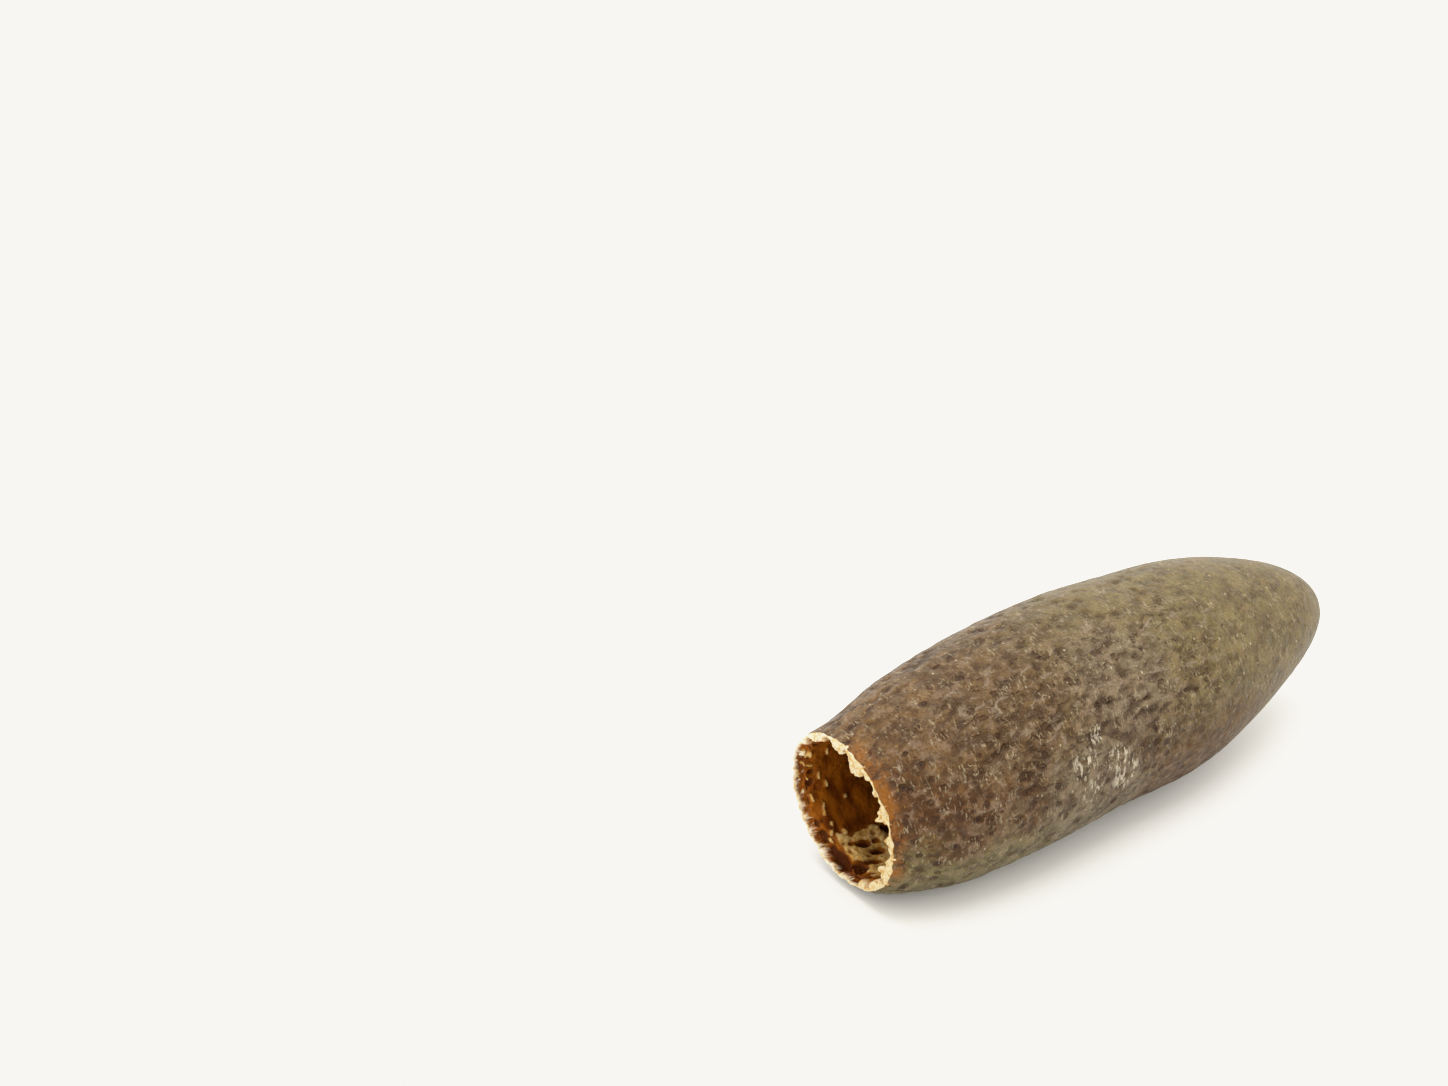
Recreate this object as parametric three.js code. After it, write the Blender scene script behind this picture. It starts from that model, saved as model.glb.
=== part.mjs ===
// The dry, empty fruit of the jequitiba tree: one woody pod, lying on its side as it comes to rest.
// Millimetres. +Z is up and Z = 0 is the surface it lies on. The open mouth points towards -X and the
// closed stem end towards +X. The origin is under the middle of the pod.
//
// The pod is spun as a straight, thick-walled cup, and each point of it is then carried to where it
// grew: along a slightly bent centre line, out to the swollen skin, and over the torn mouth.
import * as THREE from "three";

const LENGTH = 88; // along X, from the mouth to the stem end
const AROUND = 84; // points round the pod

// How the pod grew, from the mouth to the stem end. `at` is the share of the length, `radius` the skin's
// distance from the centre line, `aside` and `height` where the centre line runs in Y and Z.
const GROWTH = [
  { at: 0.0, radius: 11.4, aside: 0.7, height: 13.05 },
  { at: 0.06, radius: 13.15, aside: -0.4, height: 13.35 },
  { at: 0.14, radius: 14.9, aside: -1.3, height: 14.4 },
  { at: 0.28, radius: 15.85, aside: -1.1, height: 15.65 },
  { at: 0.44, radius: 15.9, aside: 0.0, height: 15.95 },
  { at: 0.6, radius: 15.5, aside: 0.6, height: 15.25 },
  { at: 0.74, radius: 14.2, aside: 1.4, height: 15.6 },
  { at: 0.87, radius: 12.8, aside: 1.2, height: 16.0 },
  { at: 1.0, radius: 11.9, aside: 0.6, height: 16.0 },
];
const ROUNDING = { from: 0.62, to: 1.0, power: 2.15 }; // the closed end draws in past this share
const CAVITY = { from: 0.6, to: 0.93, power: 2.3 }; // and so does the hollow inside it

const WALL_AT_MOUTH = 1.7;
const WALL_INSIDE = 2.0;
const MOUTH_SLANT = 2.0; // how far one side of the mouth stands ahead of the other, over its radius
const SLANT_FADES = 0.14; // share of the length over which the slant dies out
const STEM_SCAR = { radius: 1.5, depth: 0.7 };
const PRESSED_FLAT = 0.3; // the belly is worn this much where the pod lies, in a strip it rests on

// Pockets that the lost seeds and their pith left in the wall just inside the mouth. `angle` is in
// degrees from the top of the pod towards +Y, `inside` the distance in from the mouth.
const POCKETS = [
  { angle: 172, inside: 2.2, wide: 3.4, long: 1.6, deep: 0.9 },
  { angle: 140, inside: 2.0, wide: 1.6, long: 1.7, deep: 0.8 },
  { angle: 152, inside: 6.4, wide: 1.5, long: 1.5, deep: 0.8 },
  { angle: 162, inside: 7.6, wide: 1.3, long: 1.4, deep: 0.8 },
  { angle: 166, inside: 5.0, wide: 1.3, long: 1.0, deep: 0.7 },
  { angle: 80, inside: 1.8, wide: 1.7, long: 1.6, deep: 0.7 },
  { angle: 112, inside: 1.9, wide: 1.8, long: 1.5, deep: 0.7 },
  { angle: -128, inside: 2.1, wide: 1.8, long: 1.7, deep: 0.7 },
];

const radii = new THREE.SplineCurve(GROWTH.map((g) => new THREE.Vector2(g.at, g.radius)));
const middle = new THREE.SplineCurve(GROWTH.map((g) => new THREE.Vector2(g.aside, g.height)));

// What is left of a radius at a share of the length, where an end rounds off to nothing.
function roundedOff(at, end) {
  const past = Math.max(0, (at - end.from) / (end.to - end.from));
  return Math.sqrt(Math.max(0, 1 - past ** end.power));
}

// The share of the length that lies t of the way through the table above.
const shareAt = (t) => radii.getPoint(t).x;

const centreLine = (t) => {
  const beside = middle.getPoint(t);
  return new THREE.Vector3((shareAt(t) - 0.5) * LENGTH, beside.x, beside.y);
};

// Two directions square to the centre line: `up` towards the top of the pod, `side` towards +Y.
function sectionAxes(t) {
  const step = 1e-3;
  const along = centreLine(Math.min(1, t + step)).sub(centreLine(Math.max(0, t - step))).normalize();
  const side = new THREE.Vector3(0, 0, 1).cross(along).normalize();
  return { along, side, up: along.clone().cross(side) };
}

// The broad, shallow swellings of the skin.
function swelling(at, angle) {
  return 0.11 * Math.sin(3 * angle + 9 * at) + 0.08 * Math.sin(2 * angle - 14 * at + 1)
    + 0.05 * Math.sin(5 * angle + 23 * at + 2);
}

// The torn edge: how far its crumbs stand in towards the hollow, and how far its top stands proud.
const raggedIn = (angle) => 0.3 * Math.sin(9 * angle + 0.6) + 0.26 * Math.sin(14 * angle + 2.1)
  + 0.16 * Math.sin(20 * angle + 4.4);
const raggedOut = (angle) => 0.14 * Math.sin(7 * angle + 1.2) + 0.12 * Math.sin(12 * angle + 3.3)
  + 0.08 * Math.sin(19 * angle);

function pocketDepth(inside, angle, radius) {
  let depth = 0;
  for (const pocket of POCKETS) {
    const turn = angle - THREE.MathUtils.degToRad(pocket.angle);
    const across = (Math.atan2(Math.sin(turn), Math.cos(turn)) * radius) / pocket.wide;
    const down = (inside - pocket.inside) / pocket.long;
    depth = Math.max(depth, pocket.deep * Math.exp(-((across * across + down * down) ** 2)));
  }
  return depth;
}

// Low lengthwise ribs inside, which end before the hollow closes.
const ribs = (at, angle) => 0.18 * Math.sin(10 * angle + 4 * at) * roundedOff(at, CAVITY);

// A point of the skin, at t through the table and an angle round the pod.
function skinPoint(t, angle) {
  const at = shareAt(t);
  const { along, side, up } = sectionAxes(t);
  const reach = roundedOff(at, ROUNDING) * (radii.getPoint(t).y + swelling(at, angle));
  const slant = -MOUTH_SLANT * Math.sin(angle) * Math.max(0, 1 - at / SLANT_FADES) ** 2;
  const scar = at > 0.9 ? STEM_SCAR.depth * Math.exp(-((reach / STEM_SCAR.radius) ** 2)) : 0;
  return centreLine(t)
    .addScaledVector(up, reach * Math.cos(angle))
    .addScaledVector(side, reach * Math.sin(angle))
    .addScaledVector(along, slant - scar);
}

// A point of the hollow's wall.
function hollowPoint(t, angle) {
  const at = shareAt(t);
  const { along, side, up } = sectionAxes(t);
  const inside = at * LENGTH;
  const nearMouth = Math.exp(-inside / 1.6);
  const wall = THREE.MathUtils.lerp(WALL_INSIDE, WALL_AT_MOUTH, nearMouth);
  const bare = Math.max(0, radii.getPoint(t).y * roundedOff(at, ROUNDING) - wall) * roundedOff(at, CAVITY);
  const reach = bare + (bare > 3 ? pocketDepth(inside, angle, bare) - ribs(at, angle) : 0)
    - raggedIn(angle) * nearMouth;
  const slant = -MOUTH_SLANT * Math.sin(angle) * Math.max(0, 1 - at / SLANT_FADES) ** 2;
  const round = bare > 0 ? reach : 0;
  return centreLine(t)
    .addScaledVector(up, round * Math.cos(angle))
    .addScaledVector(side, round * Math.sin(angle))
    .addScaledVector(along, slant + 0.6 * raggedIn(angle + 0.2) * nearMouth);
}

// The middle of the broken edge, between the skin and the hollow.
function brokenEdge(angle) {
  const { along } = sectionAxes(0);
  return skinPoint(0, angle)
    .lerp(hollowPoint(0, angle), 0.45)
    .addScaledVector(along, raggedOut(angle) - 0.2);
}

// The place in the table of a share of the length.
function placeOf(share) {
  let low = 0;
  let high = 1;
  while (high - low > 1e-7) {
    const half = (low + high) / 2;
    if (shareAt(half) < share) low = half;
    else high = half;
  }
  return low;
}

// Shares of the length to put rings of points at: evenly spread, or closing up towards a rounded end.
const evenly = (from, to, count) => Array.from({ length: count }, (_, i) => from + ((to - from) * i) / count);
const closingUp = (from, to, count) => evenly(0.5 / count, 1 + 0.5 / count, count)
  .map((u) => from + (to - from) * Math.sin((u * Math.PI) / 2));

const skinShares = [...evenly(0, 0.12, 6), ...evenly(0.12, 0.66, 13), ...closingUp(0.66, 1, 13)];
const hollowShares = [...evenly(0, 0.15, 8), ...evenly(0.15, 0.62, 6), ...closingUp(0.62, CAVITY.to, 7)];

// The rings of the pod, from the tip of the stem end forward over the skin to the mouth, over the
// broken edge, and back down the hollow to its end. Each makes a point from an angle.
const rings = [
  () => skinPoint(1, 0),
  ...skinShares.map(placeOf).reverse().map((t) => (angle) => skinPoint(t, angle)),
  brokenEdge,
  ...hollowShares.map(placeOf).map((t) => (angle) => hollowPoint(t, angle)),
  () => hollowPoint(placeOf(CAVITY.to), 0),
];

function podGeometry() {
  const cup = rings.map((_, row) => new THREE.Vector2(row === 0 || row === rings.length - 1 ? 0 : 1, -row));
  const geometry = new THREE.LatheGeometry(cup, AROUND);
  const position = geometry.getAttribute("position");
  for (let column = 0; column <= AROUND; column++) {
    const angle = ((column % AROUND) / AROUND) * 2 * Math.PI;
    rings.forEach((ring, row) => {
      const { x, y, z } = ring(angle);
      position.setXYZ(column * rings.length + row, x, y, Math.max(0, z - PRESSED_FLAT));
    });
  }
  geometry.computeBoundingBox();
  const box = geometry.boundingBox;
  geometry.translate(-(box.min.x + box.max.x) / 2, -(box.min.y + box.max.y) / 2, 0);
  geometry.computeVertexNormals();
  return geometry;
}

const bark = new THREE.MeshStandardMaterial({ color: 0x6b5a47, roughness: 0.62, metalness: 0 });

const pod = new THREE.Mesh(podGeometry(), bark);
pod.name = "pod";

const fruit = new THREE.Group();
fruit.add(pod);

export default fruit;
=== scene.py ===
"""A dry jequitiba pod lying on a pale table, its torn mouth towards the camera."""
import functools
import math

import bpy
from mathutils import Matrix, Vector, noise


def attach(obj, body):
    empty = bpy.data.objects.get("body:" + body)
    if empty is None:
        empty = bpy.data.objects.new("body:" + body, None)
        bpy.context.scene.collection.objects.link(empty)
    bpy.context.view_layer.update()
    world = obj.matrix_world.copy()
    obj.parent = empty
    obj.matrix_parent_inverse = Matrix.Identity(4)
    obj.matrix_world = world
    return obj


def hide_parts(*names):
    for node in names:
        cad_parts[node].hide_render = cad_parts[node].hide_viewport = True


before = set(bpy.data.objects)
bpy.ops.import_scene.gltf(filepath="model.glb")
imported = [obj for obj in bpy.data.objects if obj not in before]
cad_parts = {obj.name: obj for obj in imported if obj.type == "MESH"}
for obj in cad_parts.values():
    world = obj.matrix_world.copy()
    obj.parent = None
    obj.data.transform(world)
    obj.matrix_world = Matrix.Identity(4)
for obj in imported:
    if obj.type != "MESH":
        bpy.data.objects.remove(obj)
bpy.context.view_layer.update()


# ---------------------------------------------------------------------------
# The table: a plain pale board, matt and a little warm, that the pod lies on.
# It is far wider than the pod, so no edge of it comes into view.
# ---------------------------------------------------------------------------
TABLE_WIDE = 8.0  # metres
TABLE_COLOUR = (0.72, 0.71, 0.69, 1)

bpy.ops.object.select_all(action="DESELECT")
bpy.ops.mesh.primitive_plane_add(size=TABLE_WIDE)
table = bpy.context.object
table.name = "table"
bpy.ops.object.mode_set(mode="EDIT")
bpy.ops.mesh.subdivide(number_cuts=3)
bpy.ops.object.mode_set(mode="OBJECT")
table_white = bpy.data.materials.new("table_white")
table_white.use_nodes = True
board = table_white.node_tree.nodes["Principled BSDF"]
board.inputs["Base Color"].default_value = TABLE_COLOUR
board.inputs["Roughness"].default_value = 0.75
board.inputs["Specular IOR Level"].default_value = 0.2
table.data.materials.append(table_white)


# ---------------------------------------------------------------------------
# Light and camera: a bright room all round, one large soft lamp overhead, and a long lens that looks
# down at about 29 degrees, with the pod low on the right of the frame. Lengths here are in metres.
# ---------------------------------------------------------------------------
FILM_WHITE = (0.930, 0.922, 0.888)  # how bright full light comes out, in red, green and blue
FILM_TONES = ((0.25, 0.40), (0.50, 0.72), (0.75, 0.90))  # a share of full light, and how bright it comes out
FILM_FULL_LIGHT = 1.6
ROOM_COLOUR, ROOM_STRENGTH = (1.0, 0.99, 0.97, 1), 2.25
LAMP_AT = Vector((-0.04, 0.0, 0.70))
LAMP_WIDE, LAMP_DEEP = 0.6, 0.5
LAMP_COLOUR, LAMP_WATTS = (1.0, 0.985, 0.96), 6.0
CAMERA_TURN, CAMERA_RISE = math.radians(-35.65), math.radians(28.99)
CAMERA_AWAY, CAMERA_SEES = 0.4466, math.radians(28)
LOOK_AT = Vector((-0.0169, 0.0651, 0.0167))

scene = bpy.context.scene
scene.view_settings.view_transform = "Standard"

# The film rolls off the highlights, so the lit table goes to a plain, slightly warm white.
scene.view_settings.use_curve_mapping = True
film = scene.view_settings.curve_mapping
film.extend = "HORIZONTAL"
film.white_level = (FILM_FULL_LIGHT, FILM_FULL_LIGHT, FILM_FULL_LIGHT)
for channel, white in zip(film.curves, FILM_WHITE):
    channel.points[1].location = (1.0, white)
    for light, shown in FILM_TONES:
        channel.points.new(light, shown * white / FILM_WHITE[0])
film.update()

room = bpy.data.worlds.new("room")
room.use_nodes = True
room_light = room.node_tree.nodes["Background"]
room_light.inputs["Color"].default_value = ROOM_COLOUR
room_light.inputs["Strength"].default_value = ROOM_STRENGTH
scene.world = room

bpy.ops.object.light_add(type="AREA", location=LAMP_AT)
lamp = bpy.context.object
lamp.name = "overhead_softbox"
lamp.rotation_euler = (-LAMP_AT).to_track_quat("-Z", "Y").to_euler()
lamp.data.shape = "RECTANGLE"
lamp.data.size = LAMP_WIDE
lamp.data.size_y = LAMP_DEEP
lamp.data.energy = LAMP_WATTS
lamp.data.color = LAMP_COLOUR

bpy.ops.object.camera_add()
camera = bpy.context.object
camera.name = "camera"
level = math.cos(CAMERA_RISE)
towards_camera = Vector((
    math.sin(CAMERA_TURN) * level, -math.cos(CAMERA_TURN) * level, math.sin(CAMERA_RISE)))
camera.location = LOOK_AT + CAMERA_AWAY * towards_camera
camera.rotation_euler = (-towards_camera).to_track_quat("-Z", "Y").to_euler()
camera.data.sensor_width = 36
camera.data.angle = CAMERA_SEES
camera.data.clip_start = 0.01
scene.camera = camera


# ---------------------------------------------------------------------------
# The pod: one woody fruit wall, grown in one piece. It is closed and round at the stem end, swells in
# the belly, and is open where its lid and the mouth's edge tore away. It lies on its belly.
# The wall is drawn as one skin of rings: over the outside, round the torn edge, and down the hollow.
# Lengths are in mm, as MM turns them into the scene's metres, and shares are of the pod's length.
# ---------------------------------------------------------------------------
MM = 0.001
LENGTH = 88.0  # along X, from the mouth to the stem end
MOUTH_X = -43.16
WALL_AT_MOUTH, WALL_INSIDE = 1.7, 2.0
WALL_THICKENS_OVER = 2.0  # from the one to the other, going in from the mouth
MOUTH_SLANT, SLANT_FADES = 2.0, 0.14  # the far side of the mouth stands this much ahead, over this share

# How the pod grew, from the mouth to the stem end: a share of the length, and there the skin's radius
# and the section's middle in Y and Z.
GROWTH = [
    (0.00, 11.40, 1.1, 12.75),
    (0.06, 13.15, 0.0, 13.05),
    (0.14, 14.90, -0.9, 14.1),
    (0.28, 15.85, -0.7, 15.35),
    (0.44, 15.90, 0.4, 15.65),
    (0.60, 15.50, 1.0, 14.95),
    (0.74, 14.20, 1.8, 15.3),
    (0.87, 12.80, 1.6, 15.7),
    (1.00, 11.90, 1.0, 15.7),
]
SKIN_ROUNDS_OFF = (0.62, 1.0, 2.15)  # from and to which share, and how bluntly
HOLLOW_ROUNDS_OFF = (0.60, 0.93, 2.3)


def grown(place):
    """Share, radius, y and z at a place from 0, the mouth, to 1, the stem end, on a curve through GROWTH."""
    knot = place * (len(GROWTH) - 1)
    i = min(int(knot), len(GROWTH) - 2)
    w = knot - i
    p1, p2 = GROWTH[i], GROWTH[i + 1]
    p0, p3 = GROWTH[max(i - 1, 0)], GROWTH[min(i + 2, len(GROWTH) - 1)]
    curve = []
    for a, b, c, d in zip(p0, p1, p2, p3):
        v0, v1 = (c - a) / 2, (d - b) / 2
        bend = (2 * b - 2 * c + v0 + v1) * w ** 3 + (3 * c - 3 * b - 2 * v0 - v1) * w ** 2
        curve.append(bend + v0 * w + b)
    return curve


def place_of(share):
    """The place whose section lies at a share of the pod's length, found by halving."""
    low, high = 0.0, 1.0
    for _ in range(26):
        half = (low + high) / 2
        if grown(half)[0] < share:
            low = half
        else:
            high = half
    return low


def rounded_off(share, ending):
    """What is left of a radius at a share of the length, where an end rounds off to nothing."""
    start, end, power = ending
    past = max(0.0, (share - start) / (end - start))
    return math.sqrt(max(0.0, 1 - past ** power))


def section(place, inset=0.0, hollow=False):
    """Middle, heading and radius of a ring, in metres, `inset` mm inside the skin."""
    share, radius, y, z = grown(place)
    ahead, behind = grown(min(1, place + 1e-3)), grown(max(0, place - 1e-3))
    onward = (ahead[0] - behind[0]) * LENGTH
    heading = Vector((onward, ahead[2] - behind[2], ahead[3] - behind[3])).normalized()
    radius = max(0.0, radius * rounded_off(share, SKIN_ROUNDS_OFF) - inset)
    if hollow:
        radius *= rounded_off(share, HOLLOW_ROUNDS_OFF)
    return Vector((MOUTH_X + share * LENGTH, y, z)) * MM, heading, radius * MM


def steps(start, end, count, closing=False):
    """Evenly spaced shares of the length, or closing up towards a rounded end."""
    spread = [(i + 1) / count for i in range(count)]
    if closing:
        spread = [math.sin(s * math.pi / 2) for s in spread]
    return [start + (end - start) * s for s in spread]


ROUND_POD = 80  # points in a ring
SKIN_RINGS = steps(0, 0.12, 7) + steps(0.12, 0.68, 25) + steps(0.68, 0.999, 12, closing=True)
HOLLOW_END = HOLLOW_ROUNDS_OFF[1] - 0.001
HOLLOW_RINGS = steps(0, 0.14, 14) + steps(0.14, 0.60, 5) + steps(0.60, HOLLOW_END, 5, closing=True)
EDGE_RINGS = (  # mm inside the skin, and mm ahead of the mouth
    (0.12, 0.24), (0.35, 0.34), (0.7, 0.34), (1.2, 0.2), (WALL_AT_MOUTH, 0.0),
)

bpy.ops.object.select_all(action="DESELECT")
middle, heading, radius = section(0)
yaw, pitch = math.atan2(heading.y, heading.x), math.asin(heading.z)
bpy.ops.mesh.primitive_circle_add(
    vertices=ROUND_POD, radius=radius, location=middle, rotation=(0, math.pi / 2 - pitch, yaw))
pod = bpy.context.object
pod.name = "pod_wall"
bpy.ops.object.transform_apply(location=True, rotation=True, scale=True)
bpy.ops.object.mode_set(mode="EDIT")
bpy.ops.mesh.select_mode(type="VERT")
bpy.ops.mesh.select_all(action="SELECT")
pod.vertex_groups.new(name="mouth_ring")
bpy.ops.object.vertex_group_assign()
for reach in ("along", "torn", "hollow"):
    pod.vertex_groups.new(name=reach)


def mark_ring(reach, weight=1.0):
    """Gives the selected ring a weight in one of the pod's groups."""
    bpy.context.tool_settings.vertex_group_weight = weight
    pod.vertex_groups.active = pod.vertex_groups[reach]
    bpy.ops.object.vertex_group_assign()


def carry_ring(old, new):
    """Draws the selected ring out to the next section: its middle, heading and radius."""
    (middle, heading, radius), (to_middle, to_heading, to_radius) = old, new
    bpy.ops.mesh.extrude_region_move(TRANSFORM_OT_translate={"value": to_middle - middle})
    scale = to_radius / radius
    bpy.ops.transform.resize(value=(scale, scale, scale), center_override=to_middle)
    swing = math.atan2(to_heading.y, to_heading.x) - math.atan2(heading.y, heading.x)
    tip = math.asin(to_heading.z) - math.asin(heading.z)
    bpy.ops.transform.rotate(value=-swing, orient_axis="Z", center_override=to_middle)
    bpy.ops.transform.rotate(value=tip, orient_axis="Y", center_override=to_middle)


# The skin, from the mouth to the stem end.
ring = section(0)
for share in SKIN_RINGS:
    next_ring = section(place_of(share))
    carry_ring(ring, next_ring)
    mark_ring("along", share)
    ring = next_ring
bpy.ops.mesh.extrude_region_move()
bpy.ops.mesh.merge(type="CENTER")

# The torn edge and the wall of the hollow, from the mouth to the hollow's end.
bpy.ops.mesh.select_all(action="DESELECT")
pod.vertex_groups.active = pod.vertex_groups["mouth_ring"]
bpy.ops.object.vertex_group_select()
ring = section(0)
for inset, ahead in EDGE_RINGS:
    middle, heading, radius = section(0, inset)
    next_ring = (middle - heading * ahead * MM, heading, radius)
    carry_ring(ring, next_ring)
    ring = next_ring
    mark_ring("torn")
    mark_ring("along", 0.0)
    mark_ring("hollow", inset / WALL_AT_MOUTH)
for share in HOLLOW_RINGS:
    nearer = math.exp(-share * LENGTH / WALL_THICKENS_OVER)
    inset = WALL_INSIDE + (WALL_AT_MOUTH - WALL_INSIDE) * nearer
    next_ring = section(place_of(share), inset, hollow=True)
    carry_ring(ring, next_ring)
    ring = next_ring
    mark_ring("torn", 0.0)
    mark_ring("along", share)
    mark_ring("hollow")
bpy.ops.mesh.extrude_region_move()
bpy.ops.mesh.merge(type="CENTER")
bpy.ops.mesh.select_all(action="SELECT")
bpy.ops.mesh.remove_doubles(threshold=1e-6)
bpy.ops.mesh.normals_make_consistent(inside=False)
bpy.ops.object.mode_set(mode="OBJECT")
finer = pod.modifiers.new("finer", "SUBSURF")
finer.levels = finer.render_levels = 2
bpy.ops.object.modifier_apply(modifier="finer")
bpy.ops.object.shade_smooth()

# The relief that grew and dried into the wall. Each point is moved from where the smooth wall has it:
# the skin's lumps, dimples and lengthwise creases and the stalk's scar, the torn lip and its teeth, the
# torn cells and strands on the hollow's wall, and the pad of pith on its floor with its pockets.
# Angles run from the top of the pod towards +Y, in degrees. Each kind of relief has its size across, in
# mm, and how high or deep it stands, in mm.
RELIEF_SEED = 3  # noise_vector draws its offsets from a seed: with this one, the relief is always the same
SWELLING = {"wide": 11, "high": 0.10}
LEATHER = {"wide": 1.9, "fine": 0.95, "high": 0.09}
DIMPLE = {"apart": 2.25, "deep": 0.22}
CREASE = {"angle": -58, "half_wide": 24, "long": 4.2, "apart": 1.25, "deep": 0.40}
STEM_SCAR = {"radius": 1.5, "deep": 0.65, "rim": 2.1, "rim_wide": 0.8, "rim_high": 0.16}
STEM_CAP_X = 36  # past here a point is on the rounded stem end
LIP_THIN = 0.30  # the torn lip's width between its teeth
TEETH = [  # the torn lip's teeth and flaps: angle in degrees, half their width in degrees, reach inwards
    (49, 4, 0.7), (28, 9, 1.0), (3, 7, 1.9), (-20, 8, 3.0), (-33, 2.5, 1.0), (-46, 3, 1.2), (-62, 5, 2.0),
    (-66, 2, 3.0), (-87, 7, 1.9), (-99, 3, 0.7), (-108, 5, 1.7), (-119, 5, 2.3), (-138, 9, 1.1),
    (-157, 4, 1.1), (178, 3, 0.5), (166, 3, 0.6), (153, 3, 0.8), (146, 2, 0.5), (135, 2.5, 0.75),
    (124, 2.5, 0.6), (112, 4, 0.4),
]
LIP_FALLS_BACK, FALL_FADES = 1.7, 2.3  # how far the wall inside the lip tore back, and over what length
TORN_CELL = {"long": 1.5, "wide": 1.25, "row_deep": 0.18, "deep": 0.5}
STRAND_HALF_WIDE, STRAND_HIGH = 0.18, 0.5
STRANDS = [  # pale strands on the hollow's wall: from and to an angle in degrees and mm in from the mouth
    (62, 0.9, 72, 1.3), (80, 1.2, 81, 1.6), (86, 2.4, 96, 2.4), (85, 0.5, 93, 0.9), (101, 3.3, 105, 3.3),
    (116, 2.4, 126, 2.1), (131, 2.7, 140, 2.2), (140, 2.2, 149, 1.5), (115, 5.5, 117, 5.5),
    (145, 7.4, 150, 7.2), (70, 3.4, 76, 3.5), (108, 1.2, 113, 1.3), (161, 3.6, 162, 3.7),
    (168, 3.3, 172, 3.5),
]
PITH_PAD = {"angle": 173, "half_wide": 28, "from": 2.4, "to": 10.5, "thick": 0.55}
PAD_HOLE = {"apart": 1.7, "deep": 0.35}
POCKETS = [  # angle in degrees, mm in from the mouth, mm across, mm along, mm deep
    (166, 1.3, 3.2, 1.7, 1.4), (178, 2.5, 2.6, 1.7, 1.4), (156, 4.9, 1.3, 1.4, 1.2),
    (165, 5.8, 1.3, 1.4, 1.1), (154, 3.6, 0.8, 0.9, 0.6), (156, 6.3, 0.9, 0.9, 0.7),
    (175, 4.4, 1.2, 1.9, 0.8), (141, 0.9, 1.7, 1.1, 0.9), (131, 0.7, 1.3, 0.9, 0.7),
    (-172, 5.6, 1.0, 1.2, 0.8), (149, 8.8, 1.2, 1.5, 0.8),
]
noise.seed_set(RELIEF_SEED)


def smooth(low, high, value):
    """Goes smoothly from 0 at `low` to 1 at `high`; low may be the larger."""
    t = min(1.0, max(0.0, (value - low) / (high - low)))
    return t * t * (3 - 2 * t)


def ridge(value, width):
    """1 where a value crosses zero, falling to 0 at `width` either side of it."""
    return max(0.0, 1 - abs(value) / width)


def turned_from(angle, middle):
    """How many degrees an angle in radians is from another in degrees, from -180 to 180."""
    return (math.degrees(angle) - middle + 180) % 360 - 180


def skin_relief(p, share):
    """The skin's height in mm, and how far a point lies in a dimple or crease, from 0 to 1, which the
    material darkens as painted shade.
    """
    even = smooth(0.48, 0.80, share + 0.10 * noise.noise(p / 9))
    drift = 0.9 * noise.noise_vector(p / 4)
    cell = noise.voronoi((p + 0.5 * drift) / DIMPLE["apart"])[0][0]
    pitted = (1 - 0.85 * even) * smooth(-0.55, 0.1, noise.noise(p / 6 + Vector((0, 0, 4))))
    dimple = smooth(0.44, 0.22, cell) * pitted
    off_flank = turned_from(math.atan2(p.y, p.z - 15), CREASE["angle"]) / CREASE["half_wide"]
    creased = math.exp(-off_flank ** 2) * (1 - smooth(0.55, 0.72, share)) * smooth(0.08, 0.2, share)
    dried = p + drift
    along, across = dried.x / CREASE["long"], dried.yz / CREASE["apart"]
    crease = smooth(0.12, 0.34, -noise.noise(Vector((along, across.x, across.y)))) * creased
    leather = 0.6 * noise.noise(p / LEATHER["fine"]) + noise.noise(p / LEATHER["wide"] + Vector((5, 0, 0)))
    height = SWELLING["high"] * noise.noise(p / SWELLING["wide"])
    height += LEATHER["high"] * (1 - 0.65 * even) * leather
    return height - DIMPLE["deep"] * dimple - CREASE["deep"] * crease, max(dimple, crease)


def stem_scar(p):
    """How deep, in mm, a point lies in the little round scar where the stalk broke off the closed end."""
    if p.x < STEM_CAP_X:
        return 0.0
    stem_y, stem_z = GROWTH[-1][2:]
    off = math.hypot(p.y - stem_y, p.z - stem_z)
    dimple = STEM_SCAR["deep"] * math.exp(-((off / STEM_SCAR["radius"]) ** 4))
    return dimple - STEM_SCAR["rim_high"] * ridge(off - STEM_SCAR["rim"], STEM_SCAR["rim_wide"])


def lip_width(angle, p):
    """How far the pale torn face reaches in from the mouth's outer edge, in mm, with its teeth."""
    width = LIP_THIN + 0.12 * noise.noise(p / 1.1)
    angle += math.radians(2.5) * noise.noise(p / 1.3)
    for middle, half_wide, reach in TEETH:
        off = abs(turned_from(angle, middle)) / half_wide
        width = max(width, LIP_THIN + reach * (1 - 0.25 * off * off) * smooth(1.35, 0.75, off))
    ragged = 0.24 * noise.noise(p / 0.85) + 0.22 * noise.noise(p / 0.42) * smooth(0.5, 1.2, width)
    return max(0.25, width + ragged * min(1.0, width))


def pocket_depth(angle, inside, radius):
    """How deep, in mm, a point lies in one of the pockets."""
    depth = 0.0
    for middle, at, across, along, deep in POCKETS:
        off = math.radians(turned_from(angle, middle)) * radius
        reach = (2 * off / across) ** 2 + (2 * (inside - at) / along) ** 2
        depth = max(depth, deep * math.exp(-reach ** 2 / 2))
    return depth


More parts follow.
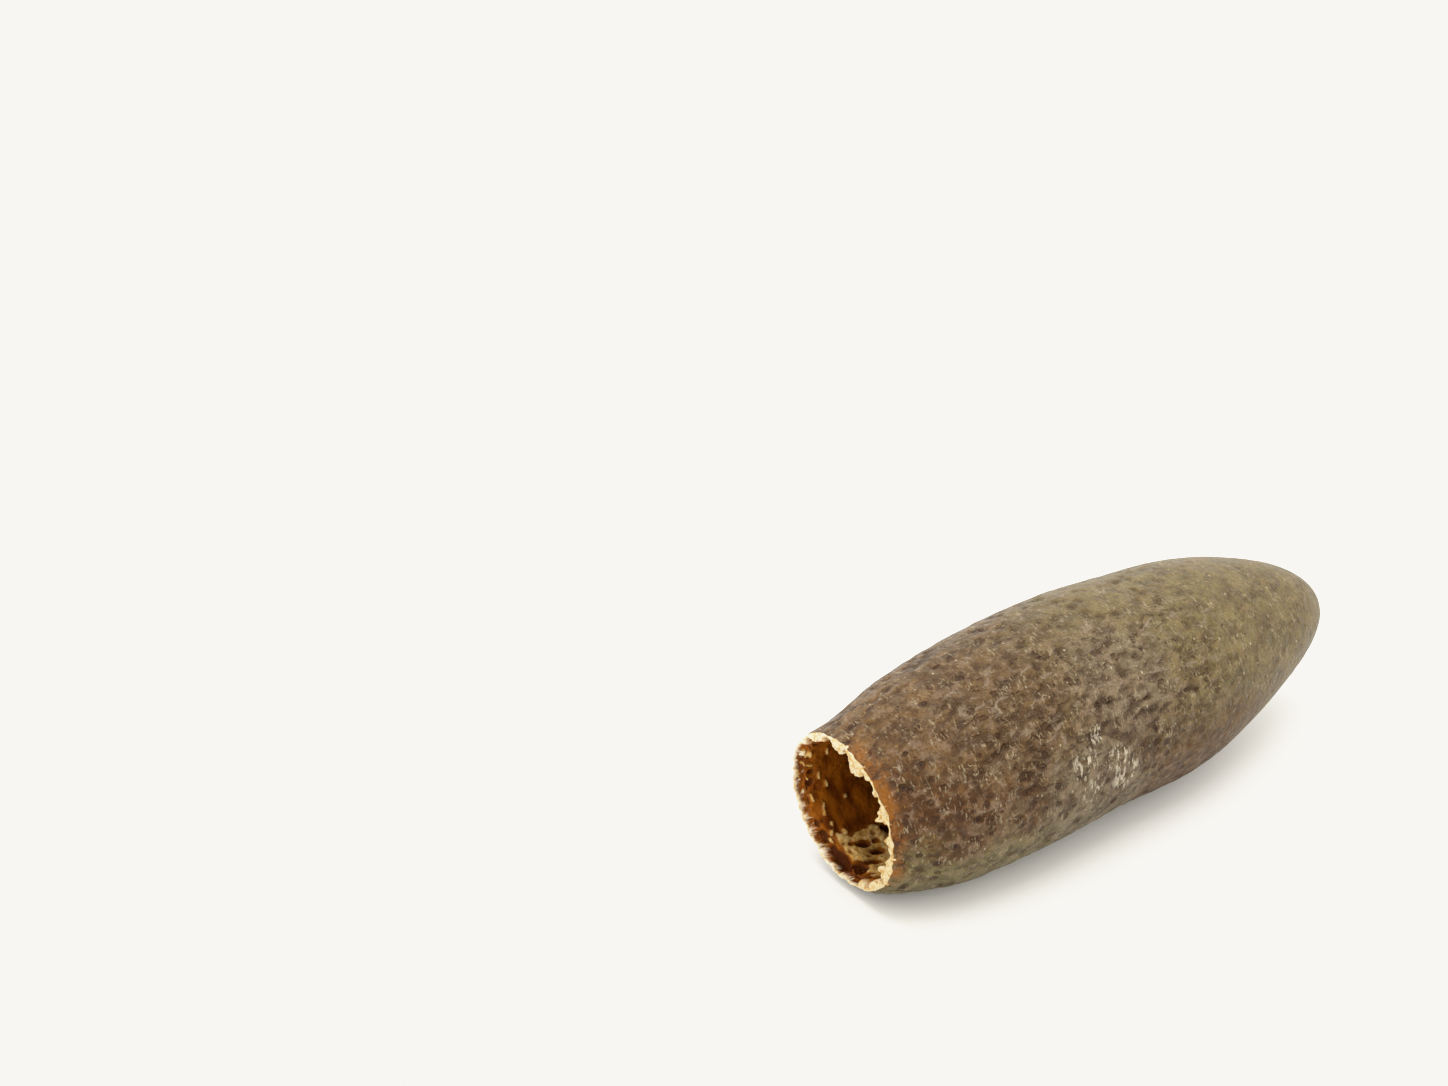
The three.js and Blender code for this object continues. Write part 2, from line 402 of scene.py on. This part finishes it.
def strand_mark(angle, inside, radius):
    """1 on the middle line of a strand, falling away to its sides."""
    nearest = 9.0
    for start, start_in, end, end_in in STRANDS:
        along, across = math.radians(end - start) * radius, end_in - start_in
        off, off_in = math.radians(turned_from(angle, start)) * radius, inside - start_in
        w = min(1.0, max(0.0, (off * along + off_in * across) / (along ** 2 + across ** 2)))
        nearest = min(nearest, math.hypot(off - w * along, off_in - w * across))
    return math.exp(-((nearest / STRAND_HALF_WIDE) ** 2))


def bare_wall(p, angle, inside, past_lip, radius, drift):
    """The hollow wall's height in mm with its torn cells and strands, and 1 where a strand is."""
    row = smooth(0.05, 0.4, past_lip) * (1 - smooth(1.2, 2.2 + drift.y, inside))
    cells = Vector((inside / TORN_CELL["long"], p.y / TORN_CELL["wide"], p.z / TORN_CELL["wide"]))
    torn_cell = smooth(0.52, 0.28, noise.voronoi(cells + 0.4 * drift)[0][0])
    strand = strand_mark(angle + math.radians(3) * drift.z, inside + 0.2 * drift.x, radius)
    strand *= smooth(-0.42, -0.1, noise.noise(p / 0.8))
    height = STRAND_HIGH * strand - row * (TORN_CELL["row_deep"] + TORN_CELL["deep"] * torn_cell)
    height += 0.13 * noise.noise(Vector((p.x / 1.6, p.y / 3.5, p.z / 3.5))) * smooth(2, 4, inside)
    height += 0.12 * noise.noise(p / 1.3) + 0.06 * noise.noise(p / 0.55)
    return height, strand


def pith_pad(p, angle, inside, drift):
    """How much of the pad of pith there is at a point, and how far the point lies in one of its holes."""
    reach = inside + 1.4 * noise.noise(p / 2.6 + Vector((2, 0, 0)))
    turn = abs(turned_from(angle, PITH_PAD["angle"])) + 9 * noise.noise(p / 2) + 6 * noise.noise(p / 0.9)
    pad = 1 - smooth(PITH_PAD["half_wide"] - 2, PITH_PAD["half_wide"] + 4, turn)
    pad *= smooth(PITH_PAD["from"] - 0.5, PITH_PAD["from"] + 0.3, reach)
    pad *= 1 - smooth(PITH_PAD["to"] - 4.5, PITH_PAD["to"] + 2.0, reach)
    cell = noise.voronoi((p + 0.8 * drift) / PAD_HOLE["apart"] + Vector((0.3, 0, 0)))[0][0]
    return pad, smooth(0.36, 0.16, cell)


def hollow_relief(p, angle, inside, past_lip, radius):
    """The hollow wall's height in mm, and how much of it is pale pith, from 0 to 1."""
    drift = noise.noise_vector(p / 3.5)
    height, strand = bare_wall(p, angle, inside, past_lip, radius, drift)
    pad, hole = pith_pad(p, angle, inside, drift)
    sunk = pocket_depth(angle, inside, radius)
    height += pad * (PITH_PAD["thick"] - PAD_HOLE["deep"] * hole) - sunk
    pale = max(strand, pad * (1 - 0.7 * hole)) * (1 - smooth(0.1, 0.5, sunk))
    return height, pale


@functools.lru_cache(maxsize=None)
def section_at(share):
    """The skin's section at a share of the length, worked out once for each share."""
    return section(place_of(share))


groups = {reach: pod.vertex_groups[reach].index for reach in ("along", "torn", "hollow")}
marks = {"relief": [], "sunk": [], "pale": [], "lip": [], "from_mouth": [], "in_hollow": []}
for vertex in pod.data.vertices:
    weights = {g.group: g.weight for g in vertex.groups}
    share, torn, hollow = (weights.get(groups[reach], 0.0) for reach in ("along", "torn", "hollow"))
    middle, heading, radius = section_at(round(share, 5))
    side = Vector((0, 0, 1)).cross(heading).normalized()
    up = heading.cross(side)
    out = vertex.co - middle
    angle = math.atan2(out.dot(side), out.dot(up))
    outward = (side * math.sin(angle) + up * math.cos(angle)).normalized()
    inside = share * LENGTH
    p = vertex.co / MM
    around = Vector((0, p.y, p.z))
    edge = max(torn, math.exp(-inside / 0.9))
    skin_height, skin_sunk = skin_relief(p, share) if hollow < 1 else (0.0, 0.0)
    wall_height = pale = on_lip = overhang = lean = recess = 0.0
    if hollow > 0:
        lip = lip_width(angle, around) if inside < 5 else LIP_THIN
        past_lip = hollow * (WALL_AT_MOUTH + inside) - lip
        recess = LIP_FALLS_BACK * smooth(-0.05, 0.45, past_lip) * math.exp(-max(0.0, past_lip) / FALL_FADES)
        wall_height, pale = hollow_relief(p, angle, inside + recess, past_lip, radius / MM)
        wall_height *= smooth(-0.2, 0.4, past_lip)
        overhang = max(0.0, lip - WALL_AT_MOUTH)
        overhang = min(inside, overhang) if past_lip < 0 else overhang * math.exp(-past_lip / 0.9)
        lean = 0.16 * max(0.0, lip - 0.4) * smooth(0.2, 1.0, hollow) * (1 - smooth(-0.1, 0.5, past_lip))
    if hollow > 0.04:
        on_lip = (1 - smooth(0.2, 0.6, recess)) * (1 - smooth(0.2, 0.4, past_lip))

    # along the pod: the slanting mouth, its uneven edge, and the torn face that falls back inside the lip
    move = -heading * MOUTH_SLANT * math.sin(angle) * max(0.0, 1 - share / SLANT_FADES) ** 2
    move -= heading * edge * (0.30 * noise.noise(around / 2.4) + 0.26 * noise.noise(around / 0.9))
    move += heading * (recess - overhang * hollow - lean)
    # out from the pod's middle line: the skin's relief, and the hollow's, with the flaps that hang over it
    skin_height *= 1 - 0.6 * edge
    move += outward * ((1 - hollow) * skin_height - hollow * (wall_height + overhang))
    # into the closed end: the stalk's scar, which gets the same painted shade as a dimple
    scar = stem_scar(p) * (1 - hollow)
    move -= heading * scar
    skin_sunk = max(skin_sunk, min(1.0, scar / 0.4))

    marks["relief"].append((1 - hollow) * skin_height + hollow * wall_height)
    marks["sunk"].append(skin_sunk)
    marks["pale"].append(pale)
    marks["lip"].append(on_lip)
    marks["from_mouth"].append(inside)
    marks["in_hollow"].append(hollow)
    vertex.co += move * MM
    vertex.co.z = max(vertex.co.z, 0.0)
for mark, values in marks.items():
    pod.data.attributes.new(mark, "FLOAT", "POINT").data.foreach_set("value", values)


# The husk's materials. Both are built from the same parts: a dry, leathery skin, the torn pith, and a mask
# of where the pith shows, so the ragged line between them runs on across the mouth's edge.
# All lengths in them are in mm, from the pod's own coordinates.
def fill(tree, node, inputs):
    """Links a node's inputs to the sockets given for them, and sets them to the plain values."""
    for socket, value in inputs.items():
        if isinstance(value, bpy.types.NodeSocket):
            tree.links.new(value, node.inputs[socket])
        else:
            node.inputs[socket].default_value = value
    return node


def add(tree, kind, inputs, **settings):
    """A new shader node of this kind, with its inputs and settings filled in."""
    node = tree.nodes.new("ShaderNode" + kind)
    for setting, value in settings.items():
        setattr(node, setting, value)
    return fill(tree, node, inputs)


def node_group(name, inputs, outputs):
    """An empty group with these sockets: its tree, what is given to it, and what it has to make."""
    tree = bpy.data.node_groups.new(name, "ShaderNodeTree")
    for in_out, sockets in (("INPUT", inputs), ("OUTPUT", outputs)):
        for socket, kind in sockets.items():
            tree.interface.new_socket(socket, in_out=in_out, socket_type="NodeSocket" + kind)
    return tree, tree.nodes.new("NodeGroupInput").outputs, tree.nodes.new("NodeGroupOutput").inputs


def use_group(tree, group, inputs):
    node = tree.nodes.new("ShaderNodeGroup")
    node.node_tree = group
    return fill(tree, node, inputs).outputs


def maths(tree, operation, a, b=0.0, c=0.0):
    return add(tree, "Math", {0: a, 1: b, 2: c}, operation=operation).outputs[0]


def both(tree, *masks):
    """Where all of the masks are: their product."""
    return functools.reduce(lambda a, b: maths(tree, "MULTIPLY", a, b), masks)


def either(tree, *masks):
    """Where any of the masks is: the greatest of them."""
    return functools.reduce(lambda a, b: maths(tree, "MAXIMUM", a, b), masks)


def ease(tree, value, low, high, to_low=0.0, to_high=1.0):
    """Goes smoothly from to_low at `low` to to_high at `high`; low may be the larger."""
    if low > high:
        low, high, to_low, to_high = high, low, to_high, to_low
    ends = {0: value, 1: low, 2: high, 3: to_low, 4: to_high}
    return add(tree, "MapRange", ends, interpolation_type="SMOOTHSTEP").outputs[0]


def blend(tree, factor, a, b, kind="MIX"):
    """Blends two tones, each a socket or a plain colour."""
    a, b = ((*tone, 1) if isinstance(tone, tuple) else tone for tone in (a, b))
    return add(tree, "Mix", {0: factor, 6: a, 7: b}, data_type="RGBA", blend_type=kind).outputs[2]


def mottle(tree, tone, value, dark, light):
    """Darkens and lightens a tone by a value from 0 to 1."""
    shade = blend(tree, value, (dark, dark, dark), (light, light, light))
    return blend(tree, 1.0, tone, shade, "MULTIPLY")


def stretched(tree, place, along, across, turned=(0, 0, 0)):
    """Coordinates in which a texture's unit is `along` mm by `across` mm."""
    scale = (1 / along, 1 / across, 1 / across)
    return add(tree, "Mapping", {"Vector": place, "Rotation": turned, "Scale": scale},
               vector_type="POINT").outputs[0]


def cloud(tree, place, detail=2.0, rough=0.5, warp=0.0):
    return add(tree, "TexNoise", {"Vector": place, "Scale": 1.0, "Detail": detail, "Roughness": rough,
                                  "Distortion": warp}).outputs["Fac"]


# Short flecks: a random cell here and there carries one, drawn out along one direction.
flecks, given, made = node_group("flecks", {"Place": "Vector", "Share": "Float"}, {"Mask": "Float"})
cell = add(flecks, "TexVoronoi", {"Vector": given["Place"], "Scale": 1.0}).outputs
lot = add(flecks, "SeparateColor", {0: cell["Color"]}).outputs[0]
chosen = ease(flecks, maths(flecks, "SUBTRACT", given["Share"], lot), 0.0, 0.08)
body = ease(flecks, cell["Distance"], 0.34, 0.16)
flecks.links.new(both(flecks, chosen, body), made["Mask"])

# Fibres: thin wandering lines, broken into short lengths.
fibres, given, made = node_group(
    "fibres", {"Place": "Vector", "Wide": "Float", "Share": "Float"}, {"Mask": "Float"})
line = maths(fibres, "ABSOLUTE", maths(fibres, "SUBTRACT", cloud(fibres, given["Place"], detail=1.5), 0.5))
line = maths(fibres, "SUBTRACT", 1.0, maths(fibres, "DIVIDE", line, given["Wide"]))
breaks = add(fibres, "VectorMath", {0: given["Place"], 1: (1.3, 0.8, 0.8)}, operation="MULTIPLY").outputs[0]
unbroken = maths(fibres, "SUBTRACT", maths(fibres, "ADD", cloud(fibres, breaks), given["Share"]), 1.0)
fibres.links.new(both(fibres, ease(fibres, line, 0.0, 0.8), ease(fibres, unbroken, 0.0, 0.08)), made["Mask"])

# The skin: brown, redder towards the mouth and khaki at the stem end, olive low on the belly, weathered
# grey in patches and mottled, with dark pits and pores, dimples and creases darkened by painted shade, pale
# and golden fibres laid round the girth, the pale ones partly painted glints, small painted glints, a painted
# sheen, painted highlights on raised parts, an orange band of painted glow at the mouth, and a few whitish
# scuffs.
BROWN = (0.054, 0.029, 0.010)
KHAKI = (0.079, 0.057, 0.023)
BELLY_OLIVE = (0.058, 0.046, 0.018)
BELLY_RUSSET = (0.048, 0.023, 0.006)
MOUTH_TAN = (0.072, 0.036, 0.011)
MOUTH_RUSSET = (0.040, 0.014, 0.0022)
MOUTH_OLIVE = (0.082, 0.067, 0.026)
MOUTH_PAINTED_GLOW = (0.138, 0.045, 0.004)
WEATHERED_GREY = (0.095, 0.077, 0.047)
PAINTED_SHEEN = (0.120, 0.092, 0.064)
UMBER = (0.041, 0.021, 0.010)
PEBBLE_GAP = (0.023, 0.009, 0.003)
PEBBLE_TOP = (0.125, 0.080, 0.050)
FURROW_PAINTED_SHADE = (0.022, 0.008, 0.002)
CREST_PAINTED_HIGHLIGHT = (0.150, 0.108, 0.076)
DIMPLE_PAINTED_SHADE = (0.018, 0.007, 0.002)
RAISED_PAINTED_HIGHLIGHT = (0.135, 0.095, 0.055)
PIT_BROWN = (0.025, 0.009, 0.002)
PIT_BLACK = (0.007, 0.003, 0.002)
PORE_DARK = (0.020, 0.010, 0.004)
FIBRE_PALE_AND_GLINT = (0.203, 0.159, 0.098)
FIBRE_GOLD = (0.158, 0.101, 0.025)
PAINTED_GLINT = (0.400, 0.340, 0.240)
SCUFF_WHITE = (0.306, 0.267, 0.195)

WEATHERED_AT = (((-15.0, -16.0, 15.0), 10.0), ((-8.0, -15.5, 10.5), 8.0))  # middle and reach
# Where the painted sheen lies: its middle and reach.
PAINTED_SHEEN_AT = (((-5.0, -12.0, 26.5), 11.0),)
SCUFFED_AT = (
    ((-7.4, -15.6, 14.2), 3.4), ((-9.2, -15.9, 17.3), 2.8), ((-12.7, -14.8, 22.0), 1.8),
    ((-15.4, -16.1, 18.8), 2.8), ((-13.9, -16.3, 14.4), 2.6),
)
FIBRE_LAYS = (  # length and width of a weave's unit, its turn in radians, a fibre's width, and their share
    (0.9, 2.0, (0, 0, 0.5), 0.04, 0.44),
    (0.8, 1.7, (0.2, 0, -0.7), 0.04, 0.43),
    (1.0, 1.6, (0.810, 0.344, 0.078), 0.035, 0.42),
)

skin, given, made = node_group(
    "dry_skin", {"Place": "Vector", "Relief": "Float", "Sunk": "Float", "From mouth": "Float"},
    {"Color": "Color", "Roughness": "Float", "Height": "Float"})
skin_place = given["Place"]


def skin_cloud(along, across, turned=(0, 0, 0), **kind):
    return cloud(skin, stretched(skin, skin_place, along, across, turned), **kind)


def skin_flecks(along, across, share, turned=(0, 0, 0)):
    place = stretched(skin, skin_place, along, across, turned)
    return use_group(skin, flecks, {"Place": place, "Share": share})["Mask"]


def zone(*edges):
    """Where every value lies past its edge: (value, low, high), easing from low to high."""
    return both(skin, *(ease(skin, value, start, end) for value, start, end in edges))


def spots(places):
    """Soft round spots on the skin, each full within half its reach."""
    masks = []
    for at, reach in places:
        away = add(skin, "VectorMath", {0: skin_place, 1: at}, operation="DISTANCE").outputs["Value"]
        masks.append(ease(skin, away, reach, reach * 0.5))
    return either(skin, *masks)


def lay(tone, mask, colour, strength=1.0):
    """Lays a colour over the tone where the mask has it."""
    return blend(skin, both(skin, mask, strength), tone, colour)


# The ground tones. Their edges wander, because each is read from a place that drifts.
xyz = add(skin, "SeparateXYZ", {0: skin_place}).outputs
drift = maths(skin, "SUBTRACT", skin_cloud(9, 7, detail=4, rough=0.6), 0.5)
along = maths(skin, "MULTIPLY_ADD", drift, 30.0, given["From mouth"])
low = maths(skin, "MULTIPLY_ADD", drift, -16.0, xyz["Z"])
patches = skin_cloud(2.6, 2.0, detail=5, rough=0.62)
khaki = ease(skin, maths(skin, "MULTIPLY_ADD", xyz["Z"], 1.1, along), 48, 82)
tone = blend(skin, khaki, BROWN, KHAKI)
tone = lay(tone, zone((low, 13, 5), (along, 42, 32)), BELLY_OLIVE)
tone = lay(tone, zone((low, 19, 11.5), (along, 38, 46), (along, 72, 60)), BELLY_RUSSET, 0.9)
tone = lay(tone, zone((along, 16, 3), (low, 7, 14)), MOUTH_TAN, 0.8)
tone = lay(tone, zone((along, 24, 10), (low, 8, 14), (low, 25, 18)), MOUTH_RUSSET, 0.85)
tone = lay(tone, zone((along, 30, 16), (low, 15, 7)), MOUTH_OLIVE, 0.8)
weathered = both(skin, spots(WEATHERED_AT), ease(skin, patches, 0.36, 0.56))
tone = lay(tone, weathered, WEATHERED_GREY, 0.75)
# A painted sheen: a paler, greyer spot high on the near flank.
tone = lay(tone, spots(PAINTED_SHEEN_AT), PAINTED_SHEEN, 0.38)
tone = lay(tone, ease(skin, skin_cloud(4, 3, detail=3), 0.48, 0.66), UMBER, 0.4)
tone = mottle(skin, tone, ease(skin, patches, 0.35, 0.65), 0.74, 1.24)

# Darker and pinker pebbling, then the lengthwise wrinkles of the flank: painted shade in their furrows and a
# painted highlight on their crests.
rough_skin = ease(skin, khaki, 0.2, 1.0, 1.0, 0.32)
pebbles = skin_cloud(1.35, 1.25, detail=3, rough=0.5, warp=0.3)
tone = lay(tone, both(skin, ease(skin, pebbles, 0.46, 0.38), rough_skin), PEBBLE_GAP, 0.52)
tone = lay(tone, both(skin, ease(skin, pebbles, 0.54, 0.64), rough_skin), PEBBLE_TOP, 0.46)
flank = zone((xyz["Z"], 12, 18), (xyz["Y"], 0, -6), (along, 62, 48), (along, 8, 14))
wrinkles = skin_cloud(2.6, 1.3, (0, 0, 0.25), detail=3, rough=0.5, warp=0.9)
furrow = both(skin, ease(skin, wrinkles, 0.42, 0.34), flank)
crest = both(skin, ease(skin, wrinkles, 0.54, 0.66), flank)
# Painted shade in the furrows and a painted highlight on the crests.
tone = lay(tone, furrow, FURROW_PAINTED_SHADE, 0.6)
tone = lay(tone, crest, CREST_PAINTED_HIGHLIGHT, 0.5)
# Painted shade in the dimples, creases and the stalk's scar, by how far each point lies in them.
tone = lay(tone, given["Sunk"], DIMPLE_PAINTED_SHADE, 0.6)
# A painted highlight: the raised relief is paler.
tone = lay(tone, ease(skin, given["Relief"], 0.02, 0.08), RAISED_PAINTED_HIGHLIGHT, 0.22)

# Pits and pores: dark, the pits with a nearly black middle.
cell = add(skin, "TexVoronoi", {"Vector": stretched(skin, skin_place, 2.3, 1.9), "Scale": 1.0}).outputs
lot = ease(skin, add(skin, "SeparateColor", {0: cell["Color"]}).outputs[0], 0.62, 0.40)
from_pit = maths(skin, "MULTIPLY_ADD", patches, 0.30, maths(skin, "SUBTRACT", cell["Distance"], 0.15))
pits = both(skin, lot, ease(skin, from_pit, 0.30, 0.20), rough_skin)
tone = lay(tone, pits, PIT_BROWN, 0.8)
tone = lay(tone, both(skin, pits, ease(skin, from_pit, 0.14, 0.07)), PIT_BLACK, 0.8)
pores = skin_flecks(0.9, 0.7, 0.2)
tone = lay(tone, pores, PORE_DARK, 0.6)

# Fibres and flecks laid over the skin, pale and golden, thicker in some places than in others; the pale ones
# are partly painted glints.
pale_hairs_and_glints = [skin_flecks(0.42, 1.5, 0.2, (0, 0, 0.45)), skin_flecks(0.36, 1.2, 0.2, (0, 0, -0.7))]
for length, width, turned, wide, share in FIBRE_LAYS:
    place = stretched(skin, skin_place, length, width, turned)
    pale_hairs_and_glints.append(use_group(skin, fibres, {"Place": place, "Wide": wide, "Share": share})["Mask"])
thickly = ease(skin, skin_cloud(4, 2.6, detail=3), 0.36, 0.60, 0.15, 1.0)
pale_hairs_and_glints = both(skin, either(skin, *pale_hairs_and_glints), thickly)
tone = lay(tone, pale_hairs_and_glints, FIBRE_PALE_AND_GLINT, 0.62)
tone = lay(tone, skin_flecks(0.5, 1.1, 0.07, (0, 0, -0.9)), FIBRE_GOLD, 0.5)
# Small painted glints: near-white flecks that stand in for highlights on the skin.
tone = lay(tone, skin_flecks(0.55, 0.8, 0.06, (0, 0, 0.8)), PAINTED_GLINT, 0.6)

# Whitish scuffs on the flank, in strokes across the girth.
rubbed = ease(skin, skin_cloud(0.55, 1.6, (0, 0.5, 0), detail=3, rough=0.65), 0.52, 0.59)
tone = lay(tone, both(skin, spots(SCUFFED_AT), rubbed), SCUFF_WHITE, 0.85)

# An orange band of painted glow, as of light through the thin skin at the mouth, and a fine grain over all of
# it.
painted_glow_band = both(skin, ease(skin, given["From mouth"], 2.9, 0.4), ease(skin, patches, 0.38, 0.60))
tone = lay(tone, both(skin, painted_glow_band, zone((xyz["Y"], 2, -4), (low, 3, 9))), MOUTH_PAINTED_GLOW, 0.9)
grain = skin_cloud(0.30, 0.36, detail=3, rough=0.6)
tone = mottle(skin, tone, ease(skin, grain, 0.3, 0.7), 0.77, 1.21)
skin.links.new(tone, made["Color"])
skin.links.new(maths(skin, "MULTIPLY_ADD", patches, 0.30, 0.34), made["Roughness"])
height = maths(skin, "MULTIPLY", grain, 0.05)
for lift, high in ((pale_hairs_and_glints, 0.04), (pores, -0.06), (pits, -0.26), (furrow, -0.20), (crest, 0.14),
                   (pebbles, 0.40)):
    height = maths(skin, "MULTIPLY_ADD", lift, high, height)
skin.links.new(height, made["Height"])

# The pith: cream and crumbly where it tore, with painted light on the lip: paler on its far side and browner,
# as painted shade, on its near side; then amber down the hollow, with tan strands and pad, and painted shade
# where it is sunk.
AMBER_DARK, AMBER_LIGHT = (0.062, 0.011, 0.0003), (0.208, 0.060, 0.0022)
PAINTED_SUNK_SHADE = (0.036, 0.007, 0.0003)
TAN_DARK, TAN_LIGHT = (0.310, 0.150, 0.0240), (0.480, 0.320, 0.1250)
NEAR_SHADED_CREAM_DARK, NEAR_SHADED_CREAM_LIGHT = (0.370, 0.200, 0.0500), (0.520, 0.400, 0.2300)
FAR_LIT_CREAM_DARK, FAR_LIT_CREAM_LIGHT = (0.500, 0.340, 0.1500), (0.700, 0.600, 0.4500)
PITH_PORE = (0.156, 0.066, 0.0120)

pith, given, made = node_group(
    "torn_pith", {"Place": "Vector", "Relief": "Float", "Pale": "Float", "Lip": "Float"},
    {"Color": "Color", "Roughness": "Float", "Height": "Float"})
pith_place = given["Place"]
crumble = cloud(pith, stretched(pith, pith_place, 0.7, 0.55), detail=4, rough=0.6)
blots = cloud(pith, stretched(pith, pith_place, 2.0, 3.6), detail=2.5)
tone = blend(pith, ease(pith, blots, 0.3, 0.7), AMBER_DARK, AMBER_LIGHT)
# Painted shade: the wall turns dark brown where its relief is sunk, in the pockets and torn cells.
tone = blend(pith, ease(pith, given["Relief"], -0.10, -0.50, 0.0, 0.92), tone, PAINTED_SUNK_SHADE)
tan = blend(pith, ease(pith, crumble, 0.35, 0.65), TAN_DARK, TAN_LIGHT)
tone = blend(pith, ease(pith, given["Pale"], 0.12, 0.75, 0.0, 0.92), tone, tan)
xyz = add(pith, "SeparateXYZ", {0: pith_place}).outputs
# Painted light: the cream is paler on the lip's far side and browner on its near side, a lit and a shaded
# copy of one tone.
painted_lit_side = both(pith, ease(pith, xyz["Y"], -5, 7), ease(pith, xyz["Z"], 26, 20))
cream_dark = blend(pith, painted_lit_side, NEAR_SHADED_CREAM_DARK, FAR_LIT_CREAM_DARK)
cream_light = blend(pith, painted_lit_side, NEAR_SHADED_CREAM_LIGHT, FAR_LIT_CREAM_LIGHT)
cream = blend(pith, ease(pith, crumble, 0.38, 0.56), cream_dark, cream_light)
tone = blend(pith, given["Lip"], tone, cream)
pith_pores = use_group(pith, flecks, {"Place": stretched(pith, pith_place, 0.6, 0.5), "Share": 0.25})["Mask"]
tone = blend(pith, both(pith, pith_pores, 0.5), tone, PITH_PORE)
pith.links.new(tone, made["Color"])
pith.links.new(maths(pith, "MULTIPLY_ADD", crumble, 0.2, 0.5), made["Roughness"])
height = maths(pith, "MULTIPLY", crumble, 0.2)
pith.links.new(maths(pith, "MULTIPLY_ADD", pith_pores, -0.12, height), made["Height"])


def husk_material(name, sheen, through, soft):
    """One of the two husk materials; `through` is how much light passes into it, `soft` how far, in mm."""
    material = bpy.data.materials.new(name)
    material.use_nodes = True
    tree = material.node_tree
    shader = tree.nodes["Principled BSDF"]
    metres = add(tree, "TexCoord", {}).outputs["Object"]
    place = add(tree, "VectorMath", {0: metres, 1: (1 / MM, 1 / MM, 1 / MM)}, operation="MULTIPLY").outputs[0]
    given = {mark: add(tree, "Attribute", {}, attribute_name=mark).outputs["Fac"] for mark in marks}

    # the lip, with crumbs of pith left on the skin beside it, and a ragged line where the pith begins
    crumbs = maths(tree, "MULTIPLY_ADD", cloud(tree, stretched(tree, place, 1.6, 1.1), detail=1), 2.0, -1.22)
    crumbs = ease(tree, maths(tree, "SUBTRACT", crumbs, given["from_mouth"]), 0.0, 0.2)
    crumbs = both(tree, crumbs, maths(tree, "LESS_THAN", given["in_hollow"], 0.5))
    lip = either(tree, given["lip"], crumbs)
    ragged = maths(tree, "SUBTRACT", cloud(tree, stretched(tree, place, 0.8, 0.8), detail=3), 0.5)
    bare = ease(tree, maths(tree, "MULTIPLY_ADD", ragged, 0.3, given["in_hollow"]), 0.12, 0.18)
    bare = either(tree, bare, lip)

    outer = use_group(tree, skin, {"Place": place, "Relief": given["relief"], "Sunk": given["sunk"],
                                   "From mouth": given["from_mouth"]})
    inner = use_group(tree, pith, {"Place": place, "Relief": given["relief"], "Pale": given["pale"],
                                   "Lip": lip})
    rough, height = (add(tree, "Mix", {0: bare, 2: outer[value], 3: inner[value]}).outputs[0]
                     for value in ("Roughness", "Height"))
    lifted = maths(tree, "MULTIPLY", height, MM)
    bump = add(tree, "Bump", {"Height": lifted, "Distance": 1.0, "Strength": 1.0})
    fill(tree, shader, {
        "Base Color": blend(tree, bare, outer["Color"], inner["Color"]),
        "Roughness": rough,
        "Normal": bump.outputs[0],
        "Specular IOR Level": sheen,
        "Subsurface Weight": through,
        "Subsurface Radius": (1.0, 0.42, 0.12),
        "Subsurface Scale": soft * MM,
    })
    return material


pod.data.materials.append(husk_material("husk_skin", sheen=0.10, through=0.0, soft=1.0))
pod.data.materials.append(husk_material("husk_pith", sheen=0.06, through=0.25, soft=0.8))
for face in pod.data.polygons:
    hollow = sum(marks["in_hollow"][v] for v in face.vertices) / len(face.vertices)
    face.material_index = 1 if hollow > 0.1 else 0

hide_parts("pod")
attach(pod, "root")
